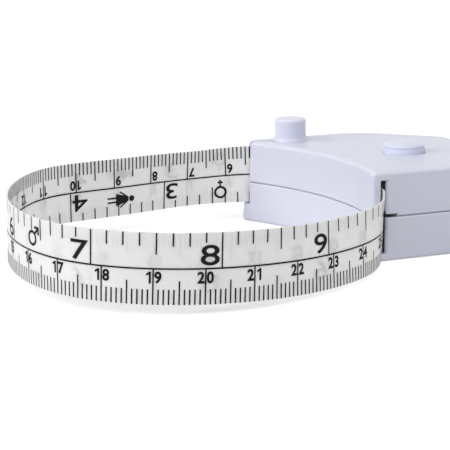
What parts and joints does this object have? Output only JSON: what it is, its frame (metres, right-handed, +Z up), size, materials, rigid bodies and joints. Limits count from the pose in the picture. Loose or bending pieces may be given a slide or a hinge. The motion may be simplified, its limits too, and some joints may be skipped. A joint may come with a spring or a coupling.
{
  "type": "body tape measure",
  "caption": "Flat case with a concave side, a sprung measuring tape in a closed loop, a round button that winds the tape in and a peg that locks the tape's end in the case.",
  "frame": {"origin": "on the spool's and button's axis, at the case's flat underside", "axes": "+Z up through the button, +X from the concave side to the far end, +Y to the wing that takes the peg"},
  "size_m": [0.1184, 0.0803, 0.0258],
  "materials": {
    "case_plastic": "satin white with a cool tint",
    "control_plastic": "satin white",
    "spool_plastic": "moulded, natural",
    "washer_plastic": "slippery film",
    "tape_film": "printed, slightly glossy",
    "brake_rubber": "matt",
    "spring_steel": "blued, oiled",
    "plated_steel": "zinc plated"
  },
  "bodies": {
    "case": {"lower_shell": "case_plastic", "upper_shell": "case_plastic", "case_screws": "plated_steel", "spool_washer": "washer_plastic", "mainspring": "spring_steel", "return_spring": "spring_steel", "tape_lead": "tape_film", "tape_loop": "tape_film"},
    "spool": {"tape_spool": "spool_plastic", "spool_flange": "spool_plastic", "spring_cover": "spool_plastic", "wound_tape": "tape_film"},
    "button": {"retract_button": "control_plastic", "brake_disc": "spool_plastic", "brake_washer": "brake_rubber", "stem_clip": "spring_steel"},
    "peg": {"locking_peg": "control_plastic", "peg_core": "control_plastic", "tape_end_pin": "plated_steel", "tape_tail": "tape_film"}
  },
  "joints": [
    {"name": "button_press", "type": "slide", "parent": "case", "child": "button", "axis": [0, 0, -1], "range_m": [0, 0.0013], "stiffness_N_per_m": 700, "springref_m": -0.004, "deforming": ["return_spring"]},
    {"name": "spool_turn", "type": "hinge", "parent": "case", "child": "spool", "pos_m": [0, 0, 0], "axis": [0, 0, 1], "range_deg": [-840, 6300]},
    {"name": "peg_lift", "type": "slide", "parent": "case", "child": "peg", "axis": [0, 0, 1], "range_m": [0, 0.0165]}
  ]
}
